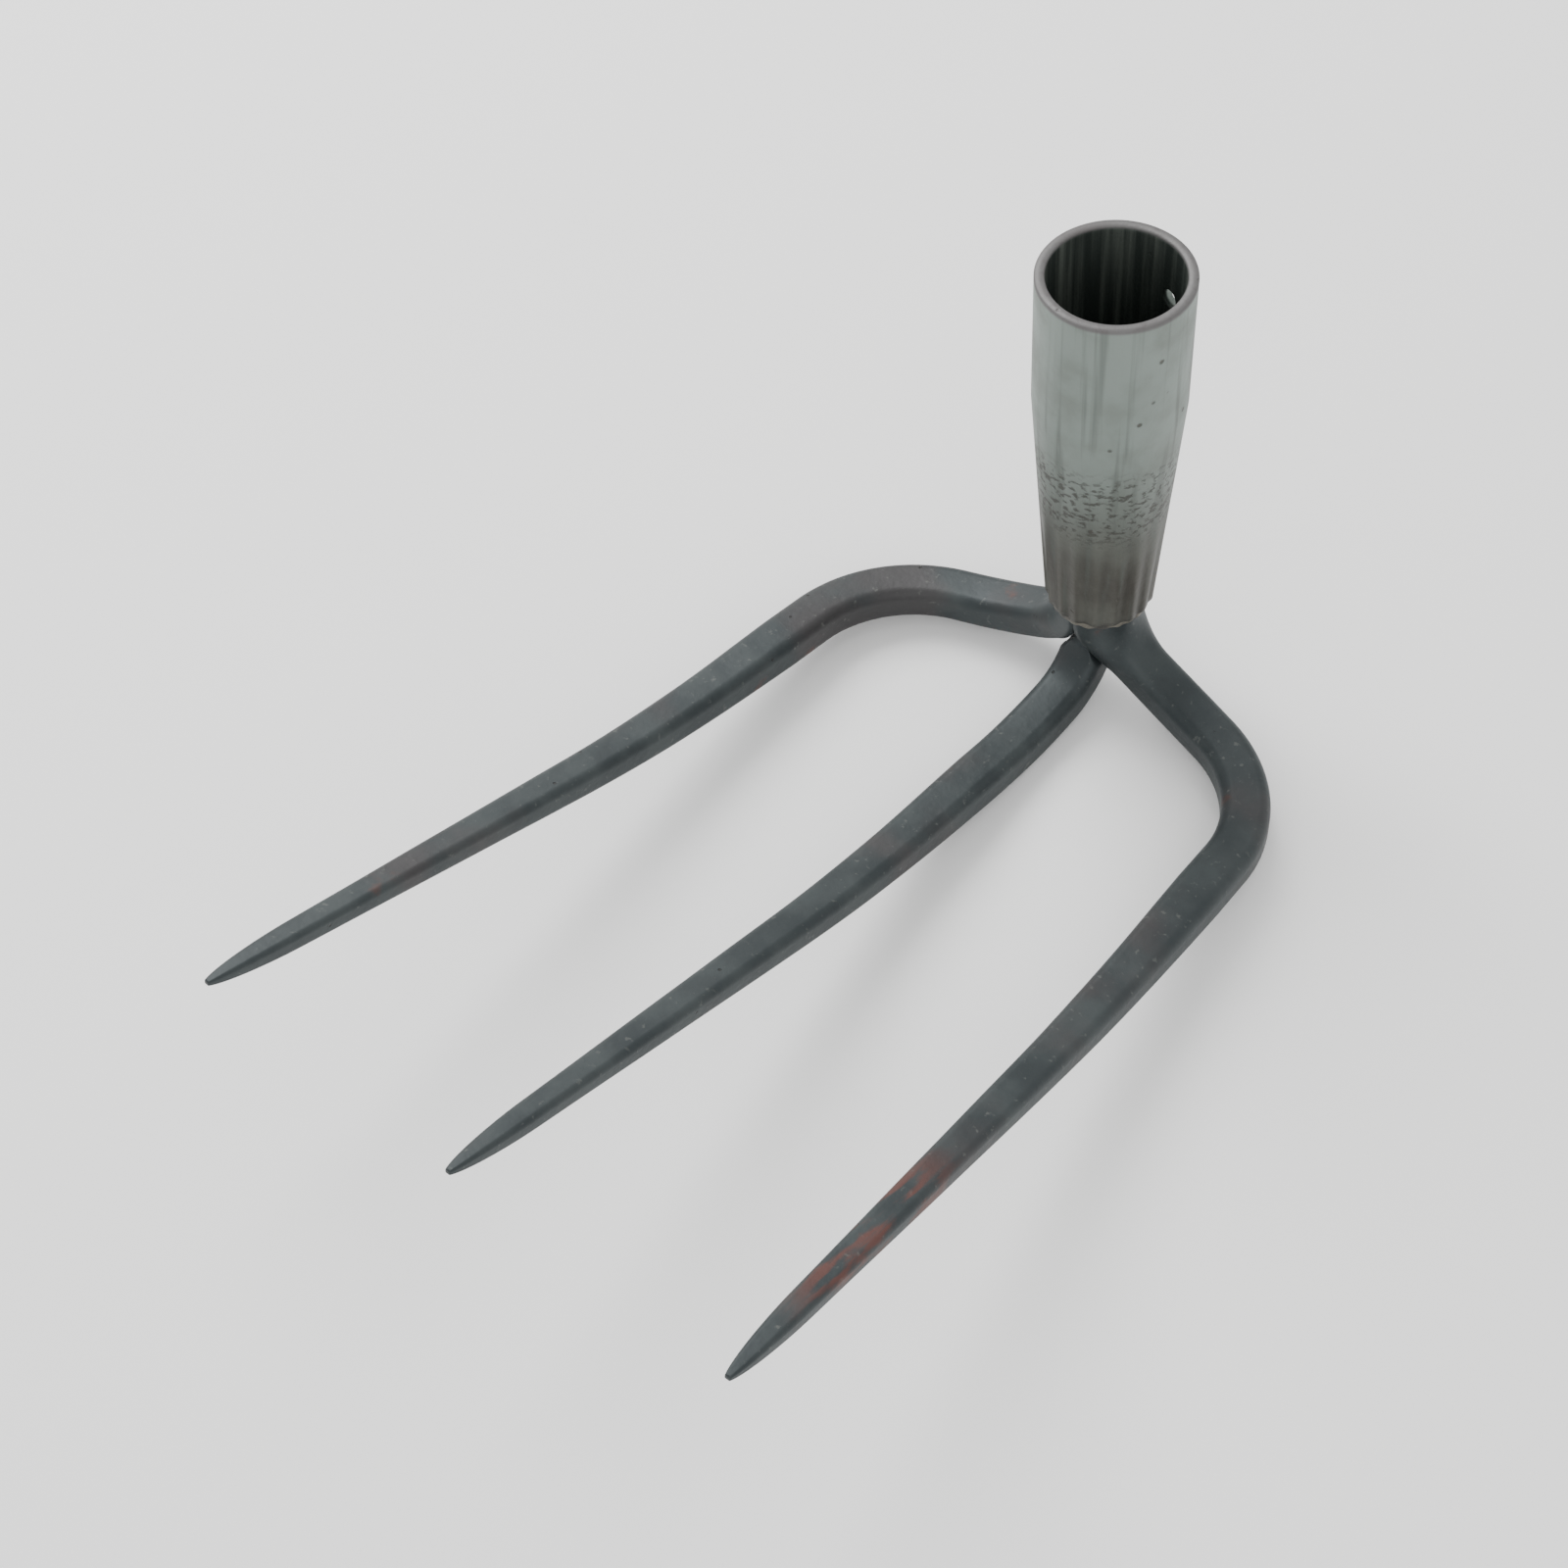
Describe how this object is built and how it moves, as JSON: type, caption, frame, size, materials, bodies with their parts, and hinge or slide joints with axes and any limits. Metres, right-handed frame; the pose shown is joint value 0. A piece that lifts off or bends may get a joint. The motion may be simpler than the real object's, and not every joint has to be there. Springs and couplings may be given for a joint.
{
  "type": "rake head",
  "caption": "Forged rake head with long curved tines that sweep forward from a swaged round handle socket with a nail hole",
  "frame": {"origin": "centre of the handle socket's mouth", "axes": "+Z out of the socket along the handle, -Y towards the tips of the tines, +X to the right across them"},
  "size_m": [0.1684, 0.2729, 0.1521],
  "materials": {
    "socket_steel": "dull grey tube, mottled",
    "forged_scale": "dark blue-grey forging scale",
    "weld_steel": "dark rough weld"
  },
  "bodies": {
    "root": {"handle_socket": "socket_steel", "left_tine": "forged_scale", "middle_tine": "forged_scale", "right_tine": "forged_scale", "foot_weld": "weld_steel"}
  },
  "joints": []
}
